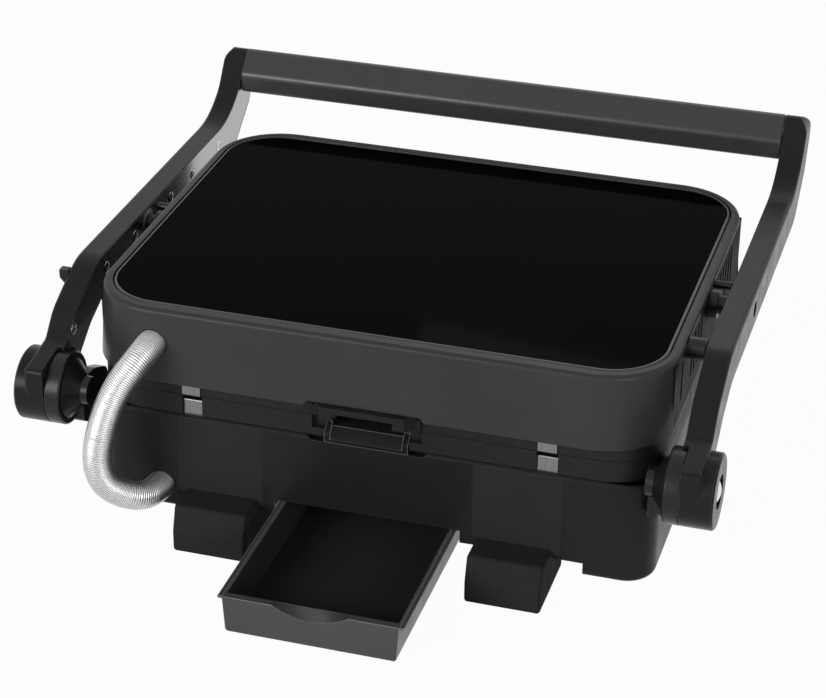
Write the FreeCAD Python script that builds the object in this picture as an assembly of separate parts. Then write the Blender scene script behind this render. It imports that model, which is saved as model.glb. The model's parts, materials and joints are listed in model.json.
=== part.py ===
"""Electric fish roaster: a hinged pair of cast cooking plates between a glass-topped lid and a base.

Two S-shaped arms with a grip bar swing on hubs at the rear corners and carry the lid on a central pivot.
The rear side faces -Y, the grip is at +Y, and the feet stand on Z = 0.  All sizes are in millimetres.
Every sub-part is written to parts/NODE.step.
"""
import FreeCAD, Part
import math
import os

V = FreeCAD.Vector
os.makedirs("parts", exist_ok=True)

# ------------------------------------------------------------------ driving dimensions
gap = 0.3                   # clearance between bodies that move past each other
fit = 0.05                  # radial running clearance of a shaft in its bore

# base housing
base_w = 340.0              # width of the housing
base_d = 260.0              # depth of the housing
base_r = 18.0               # vertical corner radius
base_wall = 2.5
base_z0 = 16.0              # lower edge of the skirt
base_z1 = 80.4              # upper edge of the wall
base_edge_r = 1.2           # rolled upper edge
under_z = 25.0              # level of the underside inside the skirt
rear_y = -112.25            # outer face of the rear wall

# cooking plates
plate_over = 1.3            # each side of a plate overhangs the housing by this much
plate_r = 33.5
plate_set = 0.5             # plates stand this far in from the rear wall's face
plate_front = 1.0           # and this far in from the front wall's face
plate_seat = 0.05           # joint between the lower plate and the wall's edge
plate_rim = 9.0             # width of the flat sealing rim
lower_h = 14.0              # visible height of the lower plate
upper_h = 17.25             # height of the upper plate
cook_depth = 7.0            # depth of each cooking face below its rim
rib_pitch = 12.0
rib_w = 3.2
rib_h = 2.2
pan_t = 3.0                 # thickness under the cooking face

# lid
lid_over = 4.0              # each side of the lid's lower edge overhangs the plates by this much
lid_r = 46.0                # corner radius at the lower edge
lid_lean = 2.6              # the walls lean in by this much at the top
lid_wall = 2.5
lid_up = 9.8                # its lower edge lies this far above the level where the plates meet
lid_h = 45.6
lid_back = 6.5              # lid overhangs the rear wall by this much
lid_front = 6.0             # and the front wall by this much
lid_edge_r = 3.0            # rounding of the rim
side_step = 0.2             # flat sides lie this far inside the rim
rim_h = 4.2                 # height of the rim band over the flat sides
ledge_w = 8.0               # inner ledge that the upper plate seats on
ledge_t = 2.5
glass_side = 7.9            # frame beside the glass, and before and behind it
glass_front = 8.8
glass_rear = 9.9
glass_r = 33.0
glass_t = 4.0
glass_low = 0.5             # glass lies this far below the rim
trim_w = 1.6                # bead round the glass

# arms, hubs and grip
hub_back = 8.0              # hub axis behind the rear wall's face
hub_low = 2.5               # and this far below the level where the plates meet
hub_r = 22.0
hub_side = 8.4              # distance of the fixed hub disc from the housing's side
hub_t = 8.8                 # thickness of the fixed hub disc
hub_gap = 0.8               # room for the washer between disc and cap
cap_t = 19.0                # thickness of the arm's hub cap
pin_r = 6.0
arm_side = 9.2              # distance of an arm from the lid's lower edge
arm_t = 15.0                # width of an arm, inner to outer face
arm_low = 2.0               # the straight stretch's upper edge lies this far below the rim
arm_deep = 25.0             # depth of an arm, edge to edge
arm_edge_r = 2.5
arm_skin = 3.0              # wall of the hollow arm
arm_plate_t = 1.5           # steel plate let into the inner face
grip_far = 61.0             # the grip bar's outermost face stands this far before the lid
grip_up = 36.2              # ridge of the grip bar and of the arms' ends above the rim
shoulder_r = 12.0           # rounding where an arm's top turns down

# lid pivot
pivot_r = 6.0
pivot_low = 13.5            # pivot axis below the rim
collar_t = 5.5              # the pivot's collar stands out of the lid's side by this much
stop_back = 70.0            # the large stop stud on the right, behind the pivot and below the rim
stop_low = 7.4
stop_r = 6.5
stud_front = 12.0           # the small studs on both sides, before the pivot and below the rim
stud_low = 6.7
stud_r = 2.6

# drip tray
tray_w = 108.6              # over the lips
tray_len = 150.5
tray_out = 102.5            # how far the tray stands out of the rear wall
tray_z0 = 8.5
tray_z1 = 31.0
tray_wall = 1.4
tray_front = 4.6            # thickness of the front wall with its finger recess
tray_lip = 2.6
tray_draft = 1.5            # each side wall leans in by this much at the floor
scoop_r = 42.0
scoop_h = 6.3

# rear feet and their upright panels
foot_x0 = 67.0
foot_x1 = 112.0
foot_out = 25.7             # foot stands out behind the rear wall
foot_edge_r = 2.0
foot_z1 = 31.0
column_x0 = 64.1
column_x1 = 117.1
column_t = 1.2              # thickness of the inlaid panel
seam = 0.25                 # joint line between flush mouldings
pad_t = 1.5                 # rubber pads under the feet

# flexible metal conduit between lid and base
conduit_r = 8.6
conduit_side = 41.5         # its two holes lie this far inside the housing's left side
conduit_z1 = 128.5          # level of its hole in the lid
conduit_z0 = 30.5           # level of its hole in the base

# ------------------------------------------------------------------ derived places
base_cy = rear_y + base_d / 2
conduit_x = conduit_side - base_w / 2
conduit_top = (conduit_x, conduit_z1)
conduit_low = (conduit_x, conduit_z0)
base_y1 = rear_y + base_d
plate_w = base_w + 2 * plate_over
plate_d = base_d - plate_set - plate_front
plate_y0 = rear_y + plate_set
plate_cy = plate_y0 + plate_d / 2
part_z = base_z1 + plate_seat + lower_h + gap / 2       # level where the two plates meet
lid_w = plate_w + 2 * lid_over
lid_d = base_d + lid_back + lid_front
lid_z0 = part_z + lid_up
lid_z1 = lid_z0 + lid_h
lid_y0 = rear_y - lid_back
lid_y1 = lid_y0 + lid_d
hub_y = rear_y - hub_back
hub_z = part_z - hub_low
hub_x0 = base_w / 2 + hub_side
hub_x1 = hub_x0 + hub_t
cap_x0 = hub_x1 + hub_gap
cap_x1 = cap_x0 + cap_t
arm_x0 = lid_w / 2 + arm_side
arm_x1 = arm_x0 + arm_t
arm_top = lid_z1 - arm_low
grip_y1 = lid_y1 + grip_far
grip_top = lid_z1 + grip_up
pivot_y = lid_y0 + lid_d / 2
pivot_z = lid_z1 - pivot_low
stop_at = (pivot_y - stop_back, lid_z1 - stop_low)
stud_at = (pivot_y + stud_front, lid_z1 - stud_low)
lower_z0 = part_z - gap / 2 - lower_h
lower_z1 = part_z - gap / 2
upper_z0 = part_z + gap / 2
upper_z1 = upper_z0 + upper_h
cook_low = lower_z1 - cook_depth
cook_up = upper_z0 + cook_depth
lid_cy = lid_y0 + lid_d / 2
lid_top_w = lid_w - 2 * lid_lean
lid_top_d = lid_d - 2 * lid_lean
lid_in_w = lid_top_w - 2 * lid_wall
lid_in_d = lid_top_d - 2 * lid_wall
lid_in_r = lid_r - lid_lean - lid_wall
lid_in_y = lid_cy - lid_in_d / 2
glass_w = lid_top_w - 2 * glass_side
glass_d = lid_top_d - glass_rear - glass_front
glass_cy = lid_y0 + lid_lean + glass_rear + glass_d / 2
side_x = lid_top_w / 2 - side_step
collar_x = side_x + collar_t
side_in = lid_in_w / 2      # inner face of the side panels
element_r = 3.25
element_w = plate_w - 102.6
element_d = plate_d - 98.5
pin_gap = 44.0              # distance between an element's cold ends
element_bend = 9.0


# ------------------------------------------------------------------ shape helpers
def fillet_path(points, closed=True):
    """Edges of a polyline whose corners are rounded; each point is (u, v, radius)."""
    n = len(points)
    starts, ends, arcs = [], [], []
    for i, (u, v, r) in enumerate(points):
        p = V(u, v, 0)
        a = V(*points[i - 1][:2], 0)
        b = V(*points[(i + 1) % n][:2], 0)
        da, db = (a - p).normalize(), (b - p).normalize()
        turn = da.getAngle(db)
        if r == 0 or abs(math.pi - turn) < 1e-6 or (not closed and i in (0, n - 1)):
            starts.append(p)
            ends.append(p)
            arcs.append(None)
            continue
        cut = r / math.tan(turn / 2)
        s, e = p + da * cut, p + db * cut
        middle = (da + db).normalize()
        m = p + middle * (r / math.sin(turn / 2) - r)
        starts.append(s)
        ends.append(e)
        arcs.append(m)
    edges = []
    for i in range(n):
        if arcs[i] is not None:
            edges.append(Part.Arc(starts[i], arcs[i], ends[i]).toShape())
        if closed or i < n - 1:
            s, e = ends[i], starts[(i + 1) % n]
            if (e - s).Length > 1e-6:
                edges.append(Part.LineSegment(s, e).toShape())
    return edges


def flat(points):
    """A face in the XY plane from rounded corner points."""
    return Part.Face(Part.Wire(fillet_path(points)))


def along_x(points, x0, x1):
    """Solid of an outline in Y and Z, between two X planes."""
    face = flat(points)
    face.Placement = FreeCAD.Placement(V(x0, 0, 0), FreeCAD.Rotation(V(0, 1, 0), V(0, 0, 1), V(1, 0, 0), "ZXY"))
    return face.extrude(V(x1 - x0, 0, 0))


def along_y(points, y0, y1):
    """Solid of an outline in X and Z, between two Y planes."""
    face = flat(points)
    face.Placement = FreeCAD.Placement(V(0, y0, 0), FreeCAD.Rotation(V(1, 0, 0), 90))
    return face.extrude(V(0, y1 - y0, 0))


def along_z(points, z0, z1):
    """Solid of an outline in X and Y, between two Z planes."""
    face = flat(points)
    face.translate(V(0, 0, z0))
    return face.extrude(V(0, 0, z1 - z0))


def box(x0, x1, y0, y1, z0, z1):
    return Part.makeBox(x1 - x0, y1 - y0, z1 - z0, V(x0, y0, z0))


def corners(w, d, r, cy, cx=0.0):
    """Corner points of a rounded rectangle."""
    return [(cx - w / 2, cy - d / 2, r), (cx + w / 2, cy - d / 2, r),
            (cx + w / 2, cy + d / 2, r), (cx - w / 2, cy + d / 2, r)]


def rounded(w, d, r, z0, z1, cy, cx=0.0):
    """Upright prism on a rounded rectangle."""
    return along_z(corners(w, d, r, cy, cx), z0, z1)


def rod_x(r, x0, x1, y, z):
    return Part.makeCylinder(r, x1 - x0, V(x0, y, z), V(1, 0, 0))


def rod_y(r, y0, y1, x, z):
    return Part.makeCylinder(r, y1 - y0, V(x, y0, z), V(0, 1, 0))


def rod_z(r, z0, z1, x, y):
    return Part.makeCylinder(r, z1 - z0, V(x, y, z0), V(0, 0, 1))


def edges_at_z(shape, z, tolerance=1e-4):
    """Edges that lie wholly in one level."""
    return [e for e in shape.Edges if abs(e.BoundBox.ZMin - z) < tolerance and abs(e.BoundBox.ZMax - z) < tolerance]


def edges_at_x(shape, x, tolerance=1e-4):
    return [e for e in shape.Edges if abs(e.BoundBox.XMin - x) < tolerance and abs(e.BoundBox.XMax - x) < tolerance]


def mirrored(shape):
    """The same piece on the other side, at -X."""
    return shape.mirror(V(0, 0, 0), V(1, 0, 0))


def both(shape):
    return Part.makeCompound([shape, mirrored(shape)])


def inset(points, d):
    """An outline moved inwards by d; convex corners get tighter and hollow ones wider."""
    area = sum(a[0] * b[1] - b[0] * a[1] for a, b in zip(points, points[1:] + points[:1]))
    way = 1 if area > 0 else -1
    out = []
    for i, (u, v, r) in enumerate(points):
        p, a, b = V(u, v, 0), V(*points[i - 1][:2], 0), V(*points[(i + 1) % len(points)][:2], 0)
        before, after = (p - a).normalize(), (b - p).normalize()
        n0, n1 = V(-before.y, before.x, 0) * way, V(-after.y, after.x, 0) * way
        half = (n0 + n1).normalize()
        shift = half * (d / half.dot(n0))
        convex = (before.x * after.y - before.y * after.x) * way > 0
        radius = max(r - d, 0.4) if convex else r + d
        out.append((u + shift.x, v + shift.y, radius))
    return out


def sweep(edges, radius, sides):
    """Many-sided bar along a wire; its sides touch a circle of the given radius halfway in and out."""
    first = edges[0]
    start = first.valueAt(first.FirstParameter)
    along = first.tangentAt(first.FirstParameter)
    across = along.cross(V(0.3, 0.8, 0.52)).normalize()
    other = along.cross(across)
    apex = radius / math.sqrt(math.cos(math.pi / sides))
    ring = []
    for k in range(sides):
        angle = 2 * math.pi * k / sides
        ring.append(start + across * (apex * math.cos(angle)) + other * (apex * math.sin(angle)))
    return Part.Wire(edges).makePipeShell([Part.makePolygon(ring + ring[:1])], True, False, 2)


def tube(points, radius):
    """A round bar along straight runs joined by tangent arcs; each arc is as large as its runs allow."""
    pts = [V(*p) for p in points]
    edges, start, radii = [], pts[0], []
    for a, p, b in zip(pts, pts[1:], pts[2:]):
        da, db = (a - p), (b - p)
        run = min(da.Length, db.Length)
        da.normalize()
        db.normalize()
        turn = da.getAngle(db)
        reach = 0.45 * run
        r = reach * math.tan(turn / 2)
        radii.append(round(r, 1))
        s, e = p + da * reach, p + db * reach
        m = p + (da + db).normalize() * (r / math.sin(turn / 2) - r)
        edges += [Part.LineSegment(start, s).toShape(), Part.Arc(s, m, e).toShape()]
        start = e
    edges.append(Part.LineSegment(start, pts[-1]).toShape())
    return sweep(edges, radius, 16), radii


def save(name, shape):
    shape.exportStep("parts/" + name + ".step")
    facets = sum(len(s.tessellate(0.1)[1]) for s in shape.Solids)
    save.total += facets
    print(f"{name:24s} solids {len(shape.Solids):3d} valid {shape.isValid()} volume {shape.Volume / 1000:9.2f} cm3"
          f" facets {facets}")


save.total = 0

# ------------------------------------------------------------------ base housing
notch_x = (-120.0, 130.5)   # the skirt is cut up to the underside between these
spout_notch = 36.5          # half width of the dip in the rear wall under the spout
spout_dip = 2.4
bracket_x = base_w / 2 - 4.5            # hinge brackets leave through recesses outside this
bracket_out = base_w / 2 + 2.0          # outer face of a bracket's foot
bracket_z = 63.5
bracket_y1 = rear_y + 31.0
ledge_z = 66.0              # inner ledge that the lower reflector rests on
sheet = 1.0                 # reflector thickness
tunnel_x = tray_w / 2 + 2.7             # inner half width of the tray tunnel
tunnel_z = 34.0
tunnel_y1 = 34.0
panel_w = 132.0             # control panel let into the front wall
panel_h = 36.0
panel_z = 50.0
panel_t = 1.2
dial_r = 17.0
dial_h = 14.0
shaft_r = 3.0
lamp_x = 44.0
lamp_r = 4.0
gland_r = 6.5
gland_y = rear_y + 60.0
gland_z = 42.0
cover_t = 1.5


def housing():
    inner_w = base_w - 2 * base_wall
    inner_d = base_d - 2 * base_wall
    inner_r = base_r - base_wall
    outer = rounded(base_w, base_d, base_r, base_z0, base_z1, base_cy)
    outer = outer.makeChamfer(base_edge_r, edges_at_z(outer, base_z1))
    outer = outer.makeFillet(4.0, edges_at_z(outer, base_z0))
    cavity = rounded(inner_w, inner_d, inner_r, base_z0 - 1, base_z1 + 1, base_cy)
    opening = rounded(base_w - 16, base_d - 16, inner_r - 5, base_z0, base_z1, base_cy)
    ledge = rounded(inner_w, inner_d, inner_r, ledge_z - 3, ledge_z, base_cy)
    rim = rounded(inner_w, inner_d, inner_r, under_z + cover_t, under_z + cover_t + 2.5, base_cy)
    body = outer.cut(cavity).fuse([ledge.cut(opening), rim.cut(opening)])
    dip = [(-spout_notch, base_z1 + 1, 0), (-spout_notch, base_z1, 0), (-spout_notch + 2.4, base_z1 - spout_dip, 0),
           (spout_notch - 2.4, base_z1 - spout_dip, 0), (spout_notch, base_z1, 0), (spout_notch, base_z1 + 1, 0)]
    cuts = [box(*notch_x, rear_y - 1, rear_y + base_wall, base_z0 - 1, under_z)]
    cuts.append(box(-tunnel_x, tunnel_x, rear_y - 1, rear_y + 9, under_z - 1, tray_z1 + 2))
    cuts.append(along_y(dip, rear_y - 1, rear_y + base_wall))
    for side in (-1, 1):
        x0, x1 = sorted((side * column_x0, side * column_x1))
        cuts.append(box(x0 - seam, x1 + seam, rear_y - 1, rear_y + column_t, under_z - 1, column_z1 + seam))
        x0, x1 = sorted((side * bracket_x, side * (base_w / 2 + 1)))
        cuts.append(box(x0, x1, rear_y - 1, bracket_y1, bracket_z, base_z1 + 1))
        cuts.append(rod_y(lamp_r - 0.5, base_y1 - base_wall - 1, base_y1 + 1, side * lamp_x, panel_z))
    cuts.append(rod_y(conduit_r + 0.1, rear_y - 1, rear_y + base_wall + 1, *conduit_low))
    cuts.append(box(-panel_w / 2, panel_w / 2, base_y1 - panel_t, base_y1 + 1,
                    panel_z - panel_h / 2, panel_z + panel_h / 2))
    cuts.append(rod_y(shaft_r + 1, base_y1 - base_wall - 1, base_y1 + 1, 0, panel_z))
    cuts.append(rod_x(gland_r, -base_w / 2 - 1, -base_w / 2 + base_wall + 1, gland_y, gland_z))
    return body.cut(cuts)


column_z1 = base_z1 - base_edge_r - 0.8


def rear_foot():
    """Foot block behind the wall, its stance under the base and the panel that runs up the wall."""
    y_out = rear_y - foot_out
    block = along_x([(rear_y + column_t, under_z, 0), (rear_y + column_t, foot_z1, 0), (y_out + 4.7, foot_z1, 2.5),
                     (y_out, 15.5, 3.0), (y_out, pad_t, 3.0), (rear_y + 30, pad_t, 3.0),
                     (rear_y + 30, under_z, 0)], foot_x0, foot_x1)
    sides = [e for x in (foot_x0, foot_x1) for e in edges_at_x(block, x) if e.BoundBox.YMax < rear_y - 1]
    block = block.makeFillet(foot_edge_r, sides)
    panel = box(column_x0, column_x1, rear_y, rear_y + column_t, under_z, column_z1)
    return block.fuse(panel).removeSplitter()


front_foot_x = base_w / 2 - 36.0
front_foot_y = base_y1 - 34.0


def front_foot():
    body = rounded(34, 26, 7, pad_t, under_z, front_foot_y, front_foot_x)
    return body.makeChamfer(1.5, edges_at_z(body, pad_t))


def foot_pads():
    rear = box(foot_x0 + 6, foot_x1 - 6, rear_y - foot_out + 5, rear_y + 24, 0, pad_t)
    front = rounded(28, 20, 5, 0, pad_t, front_foot_y, front_foot_x)
    return Part.makeCompound([rear, mirrored(rear), front, mirrored(front)])


screw_spots = [(base_w / 2 - 20, base_y1 - 14), (0.0, base_y1 - 6.5), (base_w / 2 - 20, base_cy + 2.25)]


def bottom_cover():
    sheet_cover = rounded(base_w - 2 * base_wall, base_d - 2 * base_wall, base_r - base_wall,
                          under_z, under_z + cover_t, base_cy)
    slot = box(-tunnel_x, tunnel_x, rear_y, tunnel_y1 - 1, under_z - 1, under_z + cover_t + 1)
    vents = [box(x - 20, x + 20, 60 + k * 12, 64 + k * 12, under_z - 1, under_z + cover_t + 1)
             for x in (-60, 60) for k in range(4)]
    return sheet_cover.cut([slot] + vents)


def tray_tunnel():
    y0 = rear_y + 9.0
    t = 1.2
    shell = box(-tunnel_x - t, tunnel_x + t, y0, tunnel_y1, under_z + cover_t, tunnel_z + t)
    shell = shell.cut(box(-tunnel_x, tunnel_x, y0 - 1, tunnel_y1 - t, under_z, tunnel_z))
    rails = box(tray_w / 2 - tray_lip + 0.6, tunnel_x, y0, tunnel_y1 - t,
                tray_z1 - 2.7, tray_z1 - 1.3)
    feet = box(tunnel_x + t, tunnel_x + 9, y0, tunnel_y1, under_z + cover_t, under_z + cover_t + t)
    return shell.fuse([rails, mirrored(rails), feet, mirrored(feet)]).removeSplitter()


# ------------------------------------------------------------------ cooking plates
skirt_in = 6.0              # plates' hidden skirt stands this far inside their edge
clip_x = 107.0
clip_w = 12.0
clip_t = 1.2
clip_y = rear_y + base_wall             # lower clips lie on the wall's inner face
trough_x = 21.7             # half width of the spout trough inside its cheeks
trough_out = 25.2
trough_z0 = base_z1 - 1.6
trough_back = rear_y + 4.6
spout_open = 33.0           # half width of the plate's mouth
mouth_z = cook_low - 0.95


def ribs(z0, z1):
    half = plate_w / 2 - plate_rim - 8
    count = int(half / rib_pitch)
    length = plate_d / 2 - plate_rim - 10
    out = []
    for k in range(-count, count + 1):
        x = k * rib_pitch
        trim = max(0.0, abs(x) - (half - 20)) * 0.9
        out.append(box(x - rib_w / 2, x + rib_w / 2, plate_cy - length + trim, plate_cy + length - trim, z0, z1))
    return out


def lower_plate():
    w, d = plate_w, plate_d
    rim = plate_rim
    body = rounded(w, d, plate_r, lower_z0, lower_z1, plate_cy)
    body = body.makeChamfer(1.2, edges_at_z(body, lower_z0))
    body = body.cut(rounded(w - 2 * rim, d - 2 * rim, plate_r - rim, cook_low, lower_z1 + 1, plate_cy))
    body = body.cut(rounded(w - 2 * rim, d - 2 * rim, plate_r - rim, lower_z0 - 1, cook_low - pan_t, plate_cy))
    skirt = rounded(w - 2 * skirt_in, d - 2 * skirt_in, plate_r - skirt_in,
                    ledge_z + sheet, lower_z0 + 1, plate_cy)
    skirt = skirt.cut(rounded(w - 2 * rim, d - 2 * rim, plate_r - rim, ledge_z, lower_z0 + 2, plate_cy))
    body = body.fuse([skirt] + ribs(cook_low - 0.5, cook_low + rib_h))
    mouth = box(-spout_open, spout_open, plate_y0 - 1, trough_back, mouth_z, lower_z1 + 1)
    outlet = box(-trough_out, trough_out, plate_y0 - 1, trough_back, lower_z0 - 1, lower_z1 + 1)
    channel = box(-trough_x, trough_x, plate_y0, plate_y0 + rim + 1, cook_low, lower_z1 + 1)
    cuts = [mouth, outlet, channel]
    for side in (-1, 1):
        x = side * clip_x
        cuts.append(box(x - clip_w / 2 - 0.2, x + clip_w / 2 + 0.2, plate_y0 - 1, clip_y + clip_t,
                        lower_z0 - 1, lower_z1 + 1))
        cuts.append(box(x - clip_w / 2 - 0.2, x + clip_w / 2 + 0.2, plate_y0 - 1, clip_y + clip_t + 3.2,
                        lower_clip_z, lower_z1 + 1))
    return body.cut(cuts).removeSplitter()


def spout_trough():
    """Open spout that carries the juice from the lower plate over the wall, into the tray."""
    lip = plate_y0 - 1.5
    under = trough_back - 3.5
    floor = along_x([(lip, trough_z0, 0), (lip, trough_z0 + 2.1, 0.6), (trough_back, cook_low, 0),
                     (trough_back, cook_low - 3.6, 0), (under, trough_z0, 0)], -trough_out, trough_out)
    cheek = along_x([(lip, trough_z0, 0), (lip, trough_z0 + 5.7, 1.0), (trough_back, cook_low + 2.7, 0),
                     (trough_back, cook_low - 3.6, 0), (under, trough_z0, 0)], trough_x, trough_out)
    return floor.fuse([cheek, mirrored(cheek)]).removeSplitter()


lower_clip_z = part_z - 3.7 - clip_t


def upper_plate():
    w, d = plate_w, plate_d
    rim = plate_rim
    body = rounded(w, d, plate_r, upper_z0, upper_z1, plate_cy)
    body = body.cut(rounded(w - 2 * rim, d - 2 * rim, plate_r - rim, upper_z0 - 1, cook_up, plate_cy))
    body = body.cut(rounded(w - 2 * rim, d - 2 * rim, plate_r - rim, cook_up + pan_t, upper_z1 + 1, plate_cy))
    body = body.fuse(ribs(cook_up - rib_h, cook_up + 0.5))
    body = body.cut(box(-18.5, 18.5, plate_y0 - 1, plate_y0 + rim + 1, upper_z0 - 1, cook_up))
    return body.removeSplitter()


hood_y = rear_y - 10.0      # lip of the hood over the spout
hood_z = part_z + 3.9        # lower edge of its cheeks
roof_z = part_z + 8.4


def spout_hood():
    """Hood that stands out of the upper plate over the spout."""
    side = [(25, hood_y, 2), (30, plate_y0 - 1.5, 0), (32.7, plate_y0, 0)]
    left = [(-x, y, r) for x, y, r in reversed(side)]
    roof = along_z(left + side, roof_z, roof_z + 3.7)
    cheek = along_z([(18.5, hood_y, 0)] + side + [(26.0, plate_y0, 0), (22.5, plate_y0 - 2.5, 0)], hood_z, roof_z)
    tail = along_x([(plate_y0, roof_z, 0), (plate_y0, upper_z0 + 0.2, 0), (plate_y0 - 2, upper_z0 + 1.3, 1.0),
                    (plate_y0 - 2, roof_z, 0)], 29.0, 32.7)
    return roof.fuse([cheek, mirrored(cheek), tail, mirrored(tail)]).removeSplitter()


def bent_bar(points, radius, bend):
    """A bar along straight runs, with one bend radius at every corner."""
    pts = [V(*p) for p in points]
    edges, start = [], pts[0]
    for a, p, b in zip(pts, pts[1:], pts[2:]):
        da, db = (a - p).normalize(), (b - p).normalize()
        turn = da.getAngle(db)
        s, e = p + da * (bend / math.tan(turn / 2)), p + db * (bend / math.tan(turn / 2))
        m = p + (da + db).normalize() * (bend / math.sin(turn / 2) - bend)
        edges += [Part.LineSegment(start, s).toShape(), Part.Arc(s, m, e).toShape()]
        start = e
    edges.append(Part.LineSegment(start, pts[-1]).toShape())
    return sweep(edges, radius, 8)


def element(z, pin_z):
    """Heating element: one loop whose two cold ends turn up or down through the reflector."""
    x1, y0, y1 = element_w / 2, plate_cy - element_d / 2, plate_cy + element_d / 2
    x0 = pin_gap / 2
    run = [(-x0, y1, pin_z), (-x0, y1, z), (-x1, y1, z), (-x1, y0, z), (x1, y0, z), (x1, y1, z), (x0, y1, z),
           (x0, y1, pin_z)]
    return bent_bar(run, element_r - 0.1, element_bend)


def reflector(w, d, r, z, cy, hole):
    plate = rounded(w, d, r, z, z + sheet, cy)
    return plate.cut([rod_z(hole, z - 1, z + sheet + 1, s * pin_gap / 2, plate_cy + element_d / 2)
                      for s in (-1, 1)])


def lower_reflector():
    body = reflector(base_w - 2 * base_wall - 0.4, base_d - 2 * base_wall - 0.4, base_r - base_wall, ledge_z, base_cy,
                     element_r + 0.6)
    corner = box(bracket_x - 0.3, base_w / 2, rear_y, bracket_y1 + 0.5, ledge_z - 1, ledge_z + 2)
    return body.cut([corner, mirrored(corner)])


def lower_clip():
    z1 = lower_clip_z + clip_t
    bend = along_x([(clip_y, ledge_z + sheet, 0), (clip_y, z1, 1.2), (clip_y + clip_t + 3.0, z1, 0),
                    (clip_y + clip_t + 3.0, z1 - clip_t, 0), (clip_y + clip_t, z1 - clip_t, 0),
                    (clip_y + clip_t, ledge_z + sheet, 0)], clip_x - clip_w / 2, clip_x + clip_w / 2)
    return bend


def upper_clip():
    z0 = upper_z0 + 0.2
    y1 = plate_y0
    wall = lid_y0 + lid_wall
    return along_x([(y1, z0, 0), (y1 - clip_t, z0, 0.5), (y1 - clip_t, upper_z1 - clip_t, 0),
                    (wall, upper_z1 - clip_t, 0), (wall, upper_z1, 0), (y1, upper_z1, 0)], clip_x - 5.6, clip_x + 5.6)


# ------------------------------------------------------------------ lid
groove = 0.9                # dark joint between bead and rim
window_y0 = lid_y0 + 32.5
window_y1 = lid_y1 - 32.5
shelf_z = lid_z1 - glass_low - glass_t
window_z = lid_z1 - rim_h
vent_pitch = 9.6
vent_w = 4.0
vent_z0 = lid_z0 + 10.4
vent_z1 = window_z - 6.0
tail_r = 3.0                # threaded tail of the pivot
stop_tail_r = 2.0
stud_tail_r = 1.2


def lid_outside():
    """Outer form of the lid: leaning walls and a rounded rim."""
    low = flat(corners(lid_w, lid_d, lid_r, lid_cy)).OuterWire
    low.translate(V(0, 0, lid_z0))
    high = flat(corners(lid_top_w, lid_top_d, lid_r - lid_lean, lid_cy)).OuterWire
    high.translate(V(0, 0, lid_z1))
    body = Part.makeLoft([low, high], True, True)
    return body.makeFillet(lid_edge_r, edges_at_z(body, lid_z1))


def lid_shell():
    cavity = rounded(plate_w + 2.0, lid_d - 2 * lid_wall, lid_r - 2 * lid_wall, lid_z0 - 1, upper_z1, lid_cy)
    room = rounded(lid_in_w, lid_in_d, lid_in_r, upper_z1 - 1, shelf_z - lid_wall, lid_cy)
    seat_w = glass_w + 2 * (trim_w + groove)
    seat_d = glass_d + 2 * (trim_w + groove)
    seat = rounded(seat_w, seat_d, glass_r + trim_w + groove, shelf_z, lid_z1 + 1, glass_cy)
    light = rounded(glass_w - 12, glass_d - 12, glass_r - 6, shelf_z - lid_wall - 1, shelf_z + 1, glass_cy)
    ledge = rounded(lid_in_w, lid_in_d, lid_in_r, upper_z1, upper_z1 + ledge_t, lid_cy)
    ledge = ledge.cut(rounded(plate_w - 2 * skirt_in, plate_d - 2 * skirt_in, plate_r - skirt_in,
                              upper_z1 - 1, upper_z1 + ledge_t + 1, plate_cy))
    body = lid_outside().cut([cavity, room, seat, light]).fuse(ledge)
    cuts = []
    for side in (-1, 1):
        x0, x1 = sorted((side * side_in, side * (lid_w / 2 + 1)))
        cuts.append(box(x0, x1, window_y0, window_y1, lid_z0 - 1, window_z))
    cuts.append(along_y([(-36, lid_z0 - 1, 0), (-36, lid_z0, 0), (-33.5, lid_z0 + 3, 1), (33.5, lid_z0 + 3, 1),
                         (36, lid_z0, 0), (36, lid_z0 - 1, 0)], lid_y0 - 1, lid_y0 + lid_wall + 0.5))
    cuts.append(rod_y(conduit_r + 0.4, lid_y0 - 1, lid_in_y + 1, *conduit_top))
    return body.cut(cuts)


vent_spots = [pivot_y + 25.0 + k * vent_pitch for k in range(6)]
vent_spots += [pivot_y - 25.0 - k * vent_pitch for k in (0, 1, 2, 3, 6)]


def lid_side(studs):
    """Flat side panel of the right side; studs are (y, z, radius) of the holes for the studs' tails."""
    panel = box(side_in, side_x, window_y0, window_y1, upper_z1 + 0.3, window_z)
    apron = box(plate_w / 2 + 0.2, side_x, window_y0, window_y1, lid_z0, upper_z1 + 0.3)
    vents = [box(side_in - 1, side_x + 1, y - vent_w / 2, y + vent_w / 2, vent_z0, vent_z1) for y in vent_spots]
    holes = [rod_x(r, side_in - 1, side_x + 1, y, z) for y, z, r in [(pivot_y, pivot_z, tail_r)] + studs]
    return panel.fuse(apron).removeSplitter().cut(vents + holes)


def lid_glass():
    body = rounded(glass_w, glass_d, glass_r, shelf_z, lid_z1 - glass_low, glass_cy)
    return body.makeChamfer(0.6, edges_at_z(body, lid_z1 - glass_low))


def lid_trim():
    z1 = lid_z1 - glass_low + 0.7
    body = rounded(glass_w + 2 * trim_w, glass_d + 2 * trim_w, glass_r + trim_w, shelf_z, z1, glass_cy)
    body = body.makeChamfer(0.7, edges_at_z(body, z1))
    return body.cut(rounded(glass_w, glass_d, glass_r, shelf_z - 1, z1 + 1, glass_cy))


def under_rim():
    """Space that the rim band takes over the flat right side."""
    return box(side_x - 1, side_x + 1, window_y0, window_y1, window_z, lid_z1)


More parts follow.
